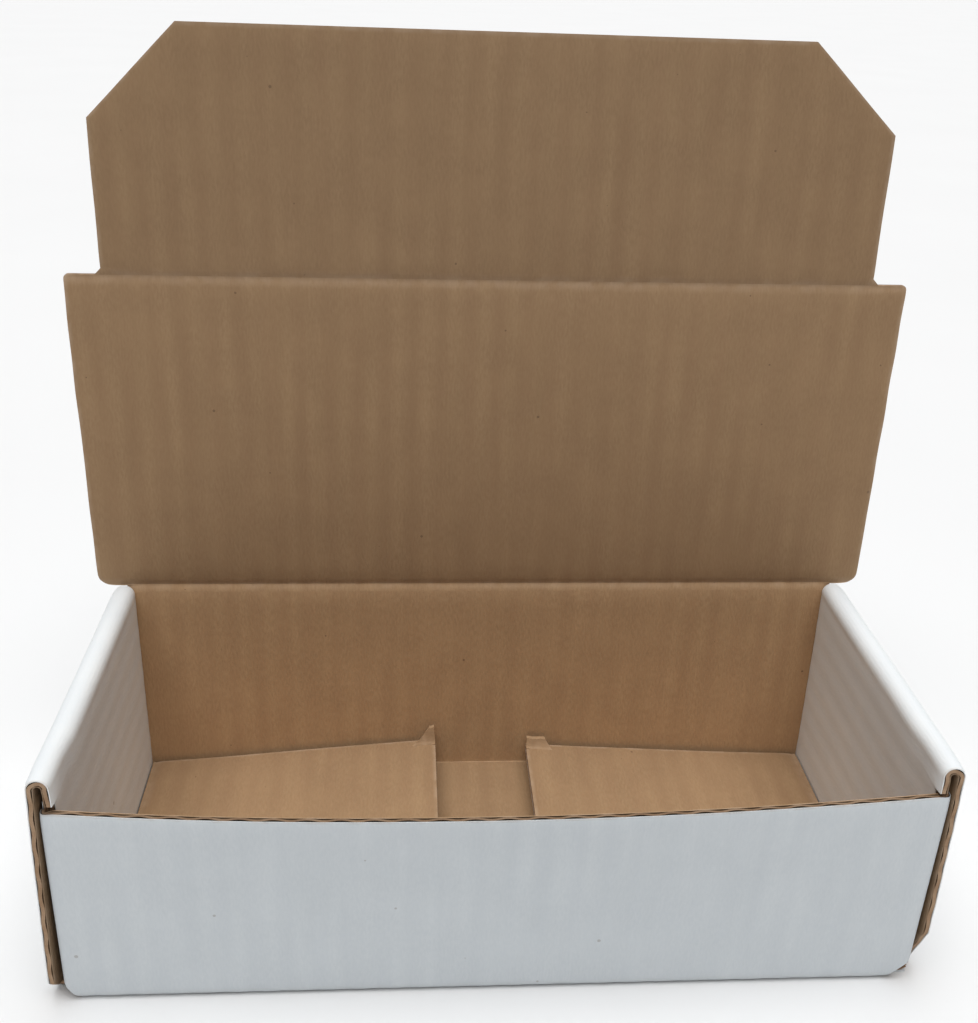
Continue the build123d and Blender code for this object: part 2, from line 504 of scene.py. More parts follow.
def new_group(name: str, inputs: dict[str, float], outputs: list[str]) -> tuple[Nodes, object, object]:
    """Starts a shader node group.

    Args:
        name: name of the group.
        inputs: name and usual value of each number that goes in.
        outputs: names of the masks that come out.

    Returns:
        The group's nodes, its input node and its output node.
    """
    tree = bpy.data.node_groups.new(name, "ShaderNodeTree")
    for word, value in inputs.items():
        socket = tree.interface.new_socket(name=word, in_out="INPUT", socket_type="NodeSocketFloat")
        socket.default_value = value
    for word in outputs:
        tree.interface.new_socket(name=word, in_out="OUTPUT", socket_type="NodeSocketFloat")
    nodes = Nodes(tree)
    return nodes, nodes.add("NodeGroupInput"), nodes.add("NodeGroupOutput")


class PaperGroups:
    """The node groups that every paper shares. They read the two maps that each sheet carries."""

    def __init__(self) -> None:
        """Builds the groups."""
        self.grain = self._grain()
        self.bands = self._bands()
        self.rubs = self._rubs()
        self.specks = self._specks()

    @staticmethod
    def _grain() -> bpy.types.NodeTree:
        """Fibres of the paper, and the clouds that its pulp leaves."""
        nodes, given, out = new_group(
            "paper_grain", {"Fibre Size": 0.0005, "Cloud Size": 0.01}, ["Fibre", "Cloud", "Streak"]
        )
        board = nodes.uv("board")
        fibre_scale = nodes.math("DIVIDE", 1.0, given.outputs["Fibre Size"])
        cloud_scale = nodes.math("DIVIDE", 1.0, given.outputs["Cloud Size"])
        fine = nodes.scaled(board, fibre_scale)
        wide = nodes.scaled(board, cloud_scale)
        masks = (
            ("Fibre", nodes.stretched(fine, (1.0, 0.3, 1.0)), 5.0),
            ("Cloud", wide, 4.0),
            ("Streak", nodes.stretched(wide, (3.0, 0.25, 1.0)), 2.0),
        )
        for word, places, detail in masks:
            noise = nodes.noise(places, 1.0, detail)
            nodes.join(nodes.between(noise, 0.3, 0.7, 0.0, 1.0), out.inputs[word])
        return nodes.tree

    @staticmethod
    def _bands() -> bpy.types.NodeTree:
        """Bands that the flutes leave in a liner, a little uneven from one to the next."""
        nodes, given, out = new_group("flute_bands", {"Pitch": 0.0066, "Wander": 0.15}, ["Band"])
        board = nodes.uv("board")
        across = nodes.add("ShaderNodeSeparateXYZ", {0: board}).outputs[0]
        turns = nodes.math("DIVIDE", across, given.outputs["Pitch"])
        stray = nodes.math("MULTIPLY", nodes.noise(board, 45.0, 2.0), given.outputs["Wander"])
        swing = nodes.math("SINE", nodes.math("MULTIPLY", nodes.math("ADD", turns, stray), math.tau))
        strength = nodes.between(nodes.noise(board, 30.0, 3.0), 0.3, 0.75, 0.2, 1.0)
        half = nodes.math("MULTIPLY", swing, nodes.math("MULTIPLY", strength, 0.5))
        nodes.join(nodes.math("ADD", half, 0.5), out.inputs["Band"])
        return nodes.tree

    @staticmethod
    def _rubs() -> bpy.types.NodeTree:
        """Where the paper is rubbed: along its cut edges and along its creases."""
        nodes, given, out = new_group(
            "rubbed_paper", {"Edge Width": 0.001, "Crease Width": 0.002}, ["Edge", "Crease"]
        )
        board = nodes.uv("board")
        rim = nodes.uv("rim")
        parts = nodes.add("ShaderNodeSeparateXYZ", {0: rim})
        patches = nodes.between(nodes.noise(board, 260.0, 4.0), 0.35, 0.65, 0.25, 1.0)
        for index, word in enumerate(("Edge", "Crease")):
            share = nodes.math("DIVIDE", parts.outputs[index], given.outputs[f"{word} Width"])
            fade = nodes.between(share, 0.0, 1.0, 1.0, 0.0)
            nodes.join(nodes.math("MULTIPLY", fade, patches), out.inputs[word])
        return nodes.tree

    @staticmethod
    def _specks() -> bpy.types.NodeTree:
        """Small dark shives in the pulp."""
        nodes, given, out = new_group("pulp_specks", {"Spacing": 0.006, "Size": 0.05}, ["Speck"])
        board = nodes.uv("board")
        scale = nodes.math("DIVIDE", 1.0, given.outputs["Spacing"])
        cells = nodes.add("ShaderNodeTexVoronoi", {"Vector": board, "Scale": scale})
        luck = nodes.add("ShaderNodeSeparateXYZ", {0: cells.outputs["Color"]}).outputs[0]
        reach = nodes.math("MULTIPLY", luck, given.outputs["Size"])
        nodes.join(nodes.math("LESS_THAN", cells.outputs["Distance"], reach), out.inputs["Speck"])
        return nodes.tree


Colour = tuple[float, float, float, float]


@dataclass(frozen=True)
class PaperFinish:
    """One paper: its colours, and how strongly its grain, bands, specks and rubs show."""

    name: str
    base: Colour
    deep: Colour
    pale: Colour
    fleck: Colour
    rubbed: Colour
    band: Colour
    cloud: float
    fibre: float
    streak: float
    band_strength: float
    speck: float
    speck_spacing: float
    edge_rub: float
    crease_rub: float
    roughness: tuple[float, float]
    relief: float
    edge_width: float = 1.2 * MM
    crease_width: float = 2.4 * MM

    def toned(self, tone: float) -> "PaperFinish":
        """A copy of the paper with light and shade painted into it: all its colours scaled by one share.

        Args:
            tone: share that the colours are scaled by; above 1 it paints light on a panel, below 1 it paints
                shade.

        Returns:
            The finish.
        """
        if tone == 1.0:
            return self
        # Painted light and shade: the paper's colours scaled by the share, capped at 0.9.
        colours = {
            word: (*(min(part * tone, 0.9) for part in getattr(self, word)[:3]), 1.0)
            for word in ("base", "deep", "pale", "band", "rubbed")
        }
        # The copy's name ends in its share of painted light and shade, in hundredths.
        return replace(self, name=f"{self.name}_{round(tone * 100)}", **colours)

    def material(self, groups: PaperGroups, pitch: float) -> bpy.types.Material:
        """Builds the paper's material.

        Args:
            groups: the shared node groups.
            pitch: distance from flute to flute.

        Returns:
            The material.
        """
        material = bpy.data.materials.new(self.name)
        material.use_nodes = True
        nodes = Nodes(material.node_tree)
        shader = material.node_tree.nodes["Principled BSDF"]
        grain = nodes.add("ShaderNodeGroup", node_tree=groups.grain)
        bands = nodes.add("ShaderNodeGroup", node_tree=groups.bands)
        bands.inputs["Pitch"].default_value = pitch
        rubs = nodes.add("ShaderNodeGroup", node_tree=groups.rubs)
        rubs.inputs["Edge Width"].default_value = self.edge_width
        rubs.inputs["Crease Width"].default_value = self.crease_width
        specks = nodes.add("ShaderNodeGroup", node_tree=groups.specks)
        specks.inputs["Spacing"].default_value = self.speck_spacing
        layers = (
            (grain.outputs["Cloud"], self.cloud, self.deep),
            (grain.outputs["Fibre"], self.fibre, self.pale),
            (grain.outputs["Streak"], self.streak, self.deep),
            (bands.outputs["Band"], self.band_strength, self.band),
            (specks.outputs["Speck"], self.speck, self.fleck),
            (rubs.outputs["Edge"], self.edge_rub, self.rubbed),
            (rubs.outputs["Crease"], self.crease_rub, self.rubbed),
        )
        colour: object = self.base
        for mask, strength, tint in layers:
            colour = nodes.mix(nodes.math("MULTIPLY", mask, strength), colour, tint)
        nodes.join(colour, shader.inputs["Base Color"])
        sheen = nodes.between(grain.outputs["Fibre"], 0.0, 1.0, *self.roughness)
        nodes.join(sheen, shader.inputs["Roughness"])
        pulp = nodes.math("MULTIPLY", grain.outputs["Cloud"], 0.5)
        height = nodes.math("ADD", grain.outputs["Fibre"], pulp)
        bump = nodes.add("ShaderNodeBump", {"Strength": 1.0, "Distance": self.relief, "Height": height})
        nodes.join(bump.outputs[0], shader.inputs["Normal"])
        shader.inputs["Specular IOR Level"].default_value = 0.3
        return material


FINISHES = {
    Paper.OUTER: PaperFinish(
        name="white_liner_paper",
        base=(0.66, 0.70, 0.725, 1),
        deep=(0.56, 0.60, 0.63, 1),
        pale=(0.76, 0.785, 0.80, 1),
        fleck=(0.30, 0.27, 0.24, 1),
        rubbed=(0.50, 0.45, 0.39, 1),
        band=(0.57, 0.61, 0.65, 1),
        cloud=0.25,
        fibre=0.35,
        streak=0.2,
        band_strength=0.22,
        speck=0.5,
        speck_spacing=0.011,
        edge_rub=0.45,
        crease_rub=0.18,
        roughness=(0.5, 0.68),
        relief=0.015 * MM,
        edge_width=0.6 * MM,
    ),
    Paper.INNER: PaperFinish(
        name="brown_liner_paper",
        base=(0.412, 0.262, 0.139, 1),
        deep=(0.333, 0.207, 0.11, 1),
        pale=(0.512, 0.345, 0.203, 1),
        fleck=(0.13, 0.075, 0.045, 1),
        rubbed=(0.56, 0.41, 0.285, 1),
        band=(0.33, 0.195, 0.106, 1),
        cloud=0.55,
        fibre=0.45,
        streak=0.3,
        band_strength=0.4,
        speck=0.6,
        speck_spacing=0.007,
        edge_rub=0.6,
        crease_rub=0.35,
        roughness=(0.78, 0.95),
        relief=0.03 * MM,
    ),
    Paper.FLUTED: PaperFinish(
        name="fluted_paper",
        base=(0.31, 0.185, 0.105, 1),
        deep=(0.23, 0.135, 0.075, 1),
        pale=(0.40, 0.26, 0.155, 1),
        fleck=(0.12, 0.07, 0.04, 1),
        rubbed=(0.47, 0.33, 0.22, 1),
        band=(0.26, 0.15, 0.085, 1),
        cloud=0.6,
        fibre=0.5,
        streak=0.3,
        band_strength=0.2,
        speck=0.5,
        speck_spacing=0.005,
        edge_rub=0.6,
        crease_rub=0.2,
        roughness=(0.82, 0.97),
        relief=0.04 * MM,
    ),
}


class Workshop:
    """What all panels share: the carton's sizes, and one material for each paper and each share of painted
    light and shade.
    """

    def __init__(self) -> None:
        """Reads the sizes and builds the node groups."""
        self.sizes = CartonSizes.from_frame()
        self.groups = PaperGroups()
        self.materials: dict[str, bpy.types.Material] = {}

    def material(self, paper: Paper, tone: float) -> bpy.types.Material:
        """The material of a paper, made when it is first asked for.

        Args:
            paper: the paper.
            tone: share that the paper's colours are scaled by, painting light above 1 and shade below 1.

        Returns:
            The material.
        """
        finish = FINISHES[paper].toned(tone)
        if finish.name not in self.materials:
            self.materials[finish.name] = finish.material(self.groups, self.sizes.pitch)
        return self.materials[finish.name]

    def dress(self, piece: bpy.types.Object, paper: Paper, tone: float) -> None:
        """Gives a piece its paper, with light and shade painted into its colours.

        Args:
            piece: the piece.
            paper: the paper that it is made of.
            tone: share that the paper's colours are scaled by, painting light above 1 and shade below 1.
        """
        piece.data.materials.append(self.material(paper, tone))


# ---- sheets of board ----------------------------------------------------------------------------
def make_piece(
    name: str, points: Array, faces: list, maps: dict[str, Array], sharp_degrees: float
) -> bpy.types.Object:
    """Makes a smooth closed mesh that faces outwards, with its maps, and puts it into the scene.

    Args:
        name: name of the piece.
        points: its points.
        faces: the corner numbers of each face.
        maps: for each map's name, the U and V of each point.
        sharp_degrees: angle from which an edge stays sharp.

    Returns:
        The piece.
    """
    mesh = bpy.data.meshes.new(name)
    mesh.from_pydata(points.tolist(), [], faces)
    work = bmesh.new()
    work.from_mesh(mesh)
    bmesh.ops.recalc_face_normals(work, faces=work.faces[:])
    work.to_mesh(mesh)
    work.free()
    corners = np.empty(len(mesh.loops), int)
    mesh.loops.foreach_get("vertex_index", corners)
    for map_name, values in maps.items():
        layer = mesh.uv_layers.new(name=map_name)
        layer.data.foreach_set("uv", values[corners].ravel())
    mesh.shade_smooth()
    mesh.set_sharp_from_angle(angle=math.radians(sharp_degrees))
    piece = bpy.data.objects.new(name, mesh)
    bpy.context.scene.collection.objects.link(piece)
    LOG.info("%s: %d faces", name, len(mesh.polygons))
    return piece


@dataclass
class BoardPanel:
    """A panel of board, cut to an outline and folded into place, as three thin closed sheets."""

    name: str
    nodes: tuple[str, ...]
    place: Place
    outline: Outline
    span: tuple[float, float]
    rider: Rider
    seed: int
    flutes: Flutes = Flutes.ALONG_V
    loose_ends: tuple[bool, bool] = (True, True)
    loose_edges: tuple[bool, bool] = (True, True)
    creases: tuple[float, ...] = ()
    fine: list[tuple[float, float, float]] = field(default_factory=list)
    others: tuple[str, ...] = ()
    # Painted light and shade: shares that scale the brown, white and fluted papers' colours, above 1 painted
    # light, below 1 painted shade; foot gives the inner liner below a V a second share.
    brown_tone: float = 1.0
    white_tone: float = 1.0
    core_tone: float = 1.0
    foot: tuple[float, float] | None = None
    slack: float = 2.5 * MM
    wobble: float = 0.15 * MM
    washboard: float = 0.055 * MM
    edge_crush: float = 0.3
    crush_reach: float = 1.2 * MM
    edge_burr: float = 0.72
    burr_reach: float = 0.4 * MM
    wobble_reach: float = 22 * MM
    cut_seed: int = 500
    map_shift: tuple[int, float] = (40, 0.37)
    sharp_degrees: float = 40.0
    steps_per_flute: int = 8

    def build(self, workshop: Workshop) -> list[bpy.types.Object]:
        """Builds the three papers of the panel.

        Args:
            workshop: the shared sizes and materials.

        Returns:
            The three pieces.
        """
        sizes = workshop.sizes
        close = sizes.pitch / self.steps_per_flute
        across_u = self.flutes is Flutes.ALONG_V
        row_step, column_step = (self.slack, close) if across_u else (close, self.slack)
        rows = stations(*self.span, row_step, self.outline.breaks(), self.fine)
        low, high = self.outline.edges(rows)
        cut = Warp(self.seed + self.cut_seed, self.wobble, self.wobble_reach)
        low = low + cut(rows, np.zeros_like(rows)) * self.loose_edges[0]
        high = high + cut(rows, np.full_like(rows, 1.0)) * self.loose_edges[1]
        first, last = math.floor(low.min() / column_step), math.ceil(high.max() / column_step)
        columns = np.arange(first, last + 1) * column_step
        u = np.clip(columns[None, :], low[:, None], high[:, None])
        v = np.repeat(rows[:, None], len(columns), axis=1)
        reach_low = np.searchsorted(columns, low, side="right") - 1
        reach_high = np.searchsorted(columns, high, side="left")
        numbers = np.clip(np.arange(len(columns))[None, :], reach_low[:, None], reach_high[:, None])
        numbers = numbers + np.arange(len(rows))[:, None] * len(columns)
        faces, rims = self._faces(numbers, reach_low, reach_high)
        rim = self._distances(u, v, low, high)
        crush = 1 - self.edge_crush * np.exp(-rim[..., 0] / self.crush_reach)
        burr = self.edge_burr * np.exp(-rim[..., 0] / self.burr_reach)
        phase = (u if across_u else v) * math.tau / sizes.pitch
        pieces = []
        for paper in Paper:
            under, over = self._heights(paper, phase, crush, burr, sizes)
            skins = [self.place(u, v, height).reshape(-1, 3) for height in (under, over)]
            piece = self._object(paper, skins, faces, rims, u, v, rim, workshop)
            pieces.append(piece)
        return pieces

    def _faces(self, numbers: Array, reach_low: Array, reach_high: Array) -> tuple[list, list]:
        """Joins the grid's points.

        Args:
            numbers: number of the point at each row and column, the same past an edge.
            reach_low: column of the low edge in each row.
            reach_high: column of the high edge in each row.

        Returns:
            The faces of one skin, and the pairs of points round its edge.
        """
        quads = grid_faces(numbers)
        whole = (quads[:, 0] != quads[:, 1]) & (quads[:, 2] != quads[:, 3])
        faces = quads[whole].tolist()
        for face in quads[~whole]:
            corners = drop_repeats(face)
            if len(corners) > 2:
                faces.append(corners)
        last = len(reach_low) - 1
        rows = np.arange(last + 1)
        lower, upper = numbers[rows, reach_low], numbers[rows, reach_high]
        start = numbers[0, reach_low[0] : reach_high[0] + 1]
        end = numbers[last, reach_low[last] : reach_high[last] + 1]
        rims = [list(pair) for line in (lower[::-1], start, upper, end[::-1]) for pair in zip(line, line[1:])]
        return faces, rims

    def _distances(self, u: Array, v: Array, low: Array, high: Array) -> Array:
        """How far each point is from a cut edge and from a crease.

        Args:
            u: U of each point.
            v: V of each point.
            low: low edge in each row.
            high: high edge in each row.

        Returns:
            The two distances for each point.
        """
        far = np.full_like(u, FAR)
        edge = far
        if self.loose_edges[0]:
            edge = np.minimum(edge, u - low[:, None])
        if self.loose_edges[1]:
            edge = np.minimum(edge, high[:, None] - u)
        if self.loose_ends[0]:
            edge = np.minimum(edge, v - self.span[0])
        if self.loose_ends[1]:
            edge = np.minimum(edge, self.span[1] - v)
        crease = far
        for place in self.creases:
            crease = np.minimum(crease, np.abs(v - place))
        return np.stack([np.maximum(edge, 0), crease], axis=-1)

    def _heights(
        self, paper: Paper, phase: Array, crush: Array, burr: Array, sizes: CartonSizes
    ) -> tuple[Array, Array]:
        """The heights of a paper's two faces above the board's outer face.

        Args:
            paper: which paper.
            phase: place within the flute, in radians.
            crush: share of the thickness that is left at each point.
            burr: share of the flute's hollows that torn fibres fill at each point.
            sizes: the carton's sizes.

        Returns:
            The lower and the upper height.
        """
        middle = sizes.board / 2
        wave = np.cos(phase)
        if paper is Paper.OUTER:
            sunk = self.washboard * (1 + wave) / 2
            under, over = sunk, sunk + sizes.liner
        elif paper is Paper.INNER:
            sunk = self.washboard * (1 - wave) / 2
            under, over = sizes.board - sizes.liner - sunk, sizes.board - sunk
        else:
            rise = middle - sizes.liner - self.washboard - sizes.medium / 2
            line = middle + rise * wave
            under, over = line - sizes.medium / 2, line + sizes.medium / 2
            lowest = sizes.liner + self.washboard
            under = under - (under - lowest) * burr
            over = over + (sizes.board - lowest - over) * burr
        return middle + (under - middle) * crush, middle + (over - middle) * crush

    def _object(
        self,
        paper: Paper,
        skins: list[Array],
        faces: list,
        rims: list,
        u: Array,
        v: Array,
        rim: Array,
        workshop: Workshop,
    ) -> bpy.types.Object:
        """Makes the piece of one paper.

        Args:
            paper: which paper.
            skins: points of its two faces.
            faces: faces of one skin.
            rims: pairs of points round the edge of a skin.
            u: U of each point.
            v: V of each point.
            rim: distances from an edge and a crease.
            workshop: the shared sizes and materials.

        Returns:
            The piece.
        """
        count = len(skins[0])
        shell = [[corner + count for corner in face] for face in faces]
        shell += [face[::-1] for face in faces]
        shell += [[b, a, a + count, b + count] for a, b in rims]
        used = np.unique(np.concatenate([np.array(face) for face in shell]))
        renumber = np.zeros(2 * count, int)
        renumber[used] = np.arange(len(used))
        across, along = (u, v) if self.flutes is Flutes.ALONG_V else (v, u)
        flutes_on, along_on = self.map_shift
        shift = np.array([self.seed * flutes_on * workshop.sizes.pitch, self.seed * along_on])
        flat = np.stack([across.ravel(), along.ravel()], axis=-1) + shift
        maps = {
            word: np.concatenate([values, values])[used]
            for word, values in (("board", flat), ("rim", rim.reshape(-1, 2)))
        }
        piece = make_piece(
            f"{self.name}_{paper.piece_ending}",
            np.concatenate(skins)[used],
            [renumber[face].tolist() for face in shell],
            maps,
            self.sharp_degrees,
        )
        # Painted light and shade: each paper gets the copy scaled by its share, and the inner liner below the
        # foot line a second copy with the foot's painted light.
        painted_lights = {Paper.OUTER: self.white_tone, Paper.FLUTED: self.core_tone, Paper.INNER: self.brown_tone}
        workshop.dress(piece, paper, painted_lights[paper])
        if self.foot and paper is Paper.INNER:
            limit, tone = self.foot
            piece.data.materials.append(workshop.material(paper, tone))
            self._mark_foot(piece.data, np.concatenate([v.ravel(), v.ravel()])[used], limit)
        self.rider.hold(piece)
        endings = [f"{node}_{paper.node_ending}" for node in self.nodes]
        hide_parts(*endings, *(self.others if paper is Paper.INNER else ()))
        return piece

    @staticmethod
    def _mark_foot(mesh: bpy.types.Mesh, heights: Array, limit: float) -> None:
        """Gives the faces below a line the mesh's second material, the copy with the foot's share of painted
        light.

        Args:
            mesh: the mesh.
            heights: V of each of its points.
            limit: V of the line.
        """
        corners = np.empty(len(mesh.loops), int)
        mesh.loops.foreach_get("vertex_index", corners)
        starts = np.empty(len(mesh.polygons), int)
        mesh.polygons.foreach_get("loop_start", starts)
        totals = np.add.reduceat(heights[corners], starts)
        middles = totals / np.diff(np.append(starts, len(corners)))
        mesh.polygons.foreach_set("material_index", (middles < limit).astype(int))


GROOVE_DEPTH, GROOVE_REACH = 0.13, 1.35
PRESSED_SHARE, PRESSED_REACH = 0.3, 0.45


def crease_groove(reach: Array, board: float) -> tuple[Array, Array]:
    """The pressed crease that a lid or flap folds at.

    Args:
        reach: distance along the board from the middle of the crease.
        board: thickness of the board.

    Returns:
        How far the board is pushed back, and the share of its thickness that is left.
    """
    back = GROOVE_DEPTH * board * np.exp(-((reach / (GROOVE_REACH * board)) ** 2))
    share = 1 - PRESSED_SHARE * np.exp(-((reach / (PRESSED_REACH * board)) ** 2))
    return back, share


# ---- sub-assemblies -----------------------------------------------------------------------------
@dataclass
class Base:
    """The floor of the tray, between the folds at the feet of the walls."""

    workshop: Workshop
    warp: float = 0.25 * MM

    def build(self) -> None:
        """Builds the floor."""
        sizes = self.workshop.sizes
        half = sizes.half_inner + 2 * sizes.roll_radius - sizes.fold_radius
        low = sizes.front_face + sizes.fold_radius
        high = sizes.back_face - sizes.fold_radius
        sag = Warp(1, self.warp, 120 * MM)

        def place(u: Array, v: Array, n: Array) -> Array:
            """The floor lies flat, and its middle lifts a little."""
            lift = np.abs(sag(u, v)) * (1 - (u / half) ** 2)
            return np.stack([u, v, n + lift], axis=-1)

        BoardPanel(
            name="floor",
            nodes=("floor",),
            place=place,
            outline=Outline.straight(low, high, -half, half),
            span=(low, high),
            rider=Rider("tray"),
            seed=1,
            loose_ends=(False, False),
            loose_edges=(False, False),
            slack=6 * MM,
            wobble=0.0,
            # Painted shade: the floor's brown face darkened to 0.9.
            brown_tone=0.9,
        ).build(self.workshop)


@dataclass
class EndWall:
    """The front or the back wall: folded up from the floor, and folded back at both ends."""

    workshop: Workshop
    name: str
    inward: int
    face: float
    height: float
    seed: int
    chamfers: tuple[tuple[float, float], ...] = ((0.0, 0.0), (0.0, 0.0))
    chamfer_turn: float = 0.7
    chamfer_blend: float = 1.5 * MM
    bow: float = 0.0
    bow_power: float = 1.6
    rise_right: float = 0.0
    left_draw: tuple[float, float] = (0.0, 0.0)
    right_draw: tuple[float, float] = (0.0, 0.0)
    corner_radius: float = 1.3 * MM
    corner_share: float = 0.5
    tail: float = 0.9 * MM
    warp: float = 0.3 * MM
    loose_top: bool = True
    edge_burr: float = 0.72
    # Shares of painted light (above 1) and painted shade (below 1) for the brown, white and fluted papers.
    brown_tone: float = 1.0
    white_tone: float = 1.0
    core_tone: float = 1.0

    def build(self) -> None:
        """Builds the wall."""
        sizes = self.workshop.sizes
        radius, corner = sizes.fold_radius, self.corner_radius
        flat = sizes.half_front - corner
        quarter = corner * math.pi / 2
        half = flat + quarter + self.tail
        fold = radius * math.pi / 2
        path = FoldPath((radius, 0.0), 180.0, [(fold, -90.0), (self.height - radius, 0.0)])
        uneven = Warp(self.seed, self.warp, 90 * MM)

        def place(u: Array, v: Array, n: Array) -> Array:
            """Folds the wall at its foot and round its ends, and bows it out towards its top."""
            points, angles = path.at(v)
            past = np.clip(np.abs(u) - flat, 0, None)
            turn = np.clip(past / corner, 0, math.pi / 2)
            hand = np.sign(u)
            back = corner * (1 - np.cos(turn)) + np.clip(past - quarter, 0, None)
            rise = points[..., 1] / self.height
            crease, share = crease_groove(sizes.hinge.z - sizes.crease_drop - points[..., 1], sizes.board)
            if self.loose_top:
                crease, share = np.zeros_like(crease), np.ones_like(share)
            squeeze = 1 - (1 - self.corner_share) * np.clip((np.abs(u) - flat) / corner + 1, 0, 1)
            depth = (sizes.board / 2 + (n - sizes.board / 2) * share) * squeeze
            upright = np.sin(angles)
            x = hand * (np.minimum(np.abs(u), flat) + (corner - depth) * np.sin(turn))
            bowed = self.bow * (1 - (x / sizes.half_front) ** 2) * np.clip(rise, 0, 1) ** self.bow_power
            into = points[..., 0] + back + depth * upright * np.cos(turn) - bowed
            calm = np.clip(rise, 0, 1) * (1.0 if self.loose_top else 2 * np.clip(1 - rise, 0, 1))
            into = into - crease + uneven(u, v) * calm * np.cos(turn)
            left = self.left_draw[0] * (1 - rise) + self.left_draw[1] * rise
            right = self.right_draw[0] * (1 - rise) + self.right_draw[1] * rise
            x = x - x / sizes.half_front * np.where(x < 0, left, right)
            z = points[..., 1] - depth * np.cos(angles) + self.rise_right * rise * x / sizes.half_front
            return np.stack([x, self.face + self.inward * into, z], axis=-1)

        edges = []
        for hand, (width, height) in zip((-1, 1), self.chamfers):
            points = [(0.0, hand * half), (path.length, hand * half)]
            if width:
                low = hand * (sizes.half_front - width)
                start = fold / 2
                face_edge = hand * (flat + quarter * self.chamfer_turn)
                points = [
                    (0.0, low),
                    (start, low),
                    (start + height, face_edge),
                    (start + height + self.chamfer_blend, hand * half),
                    (path.length, hand * half),
                ]
            edges.append(points)
        BoardPanel(
            name=self.name,
            nodes=(self.name,),
            place=place,
            outline=Outline(*edges),
            span=(0.0, path.length),
            rider=Rider("tray"),
            seed=self.seed,
            loose_ends=(False, self.loose_top),
            loose_edges=(False, False),
            creases=(fold / 2,) if self.loose_top else (fold / 2, path.length + 2 * MM),
            fine=[(0.0, fold, 0.45 * MM), (path.length - 8 * MM, path.length, 0.6 * MM)],
            wobble=0.0,
            steps_per_flute=12,
            edge_burr=self.edge_burr,
            brown_tone=self.brown_tone,
            white_tone=self.white_tone,
            core_tone=self.core_tone,
        ).build(self.workshop)


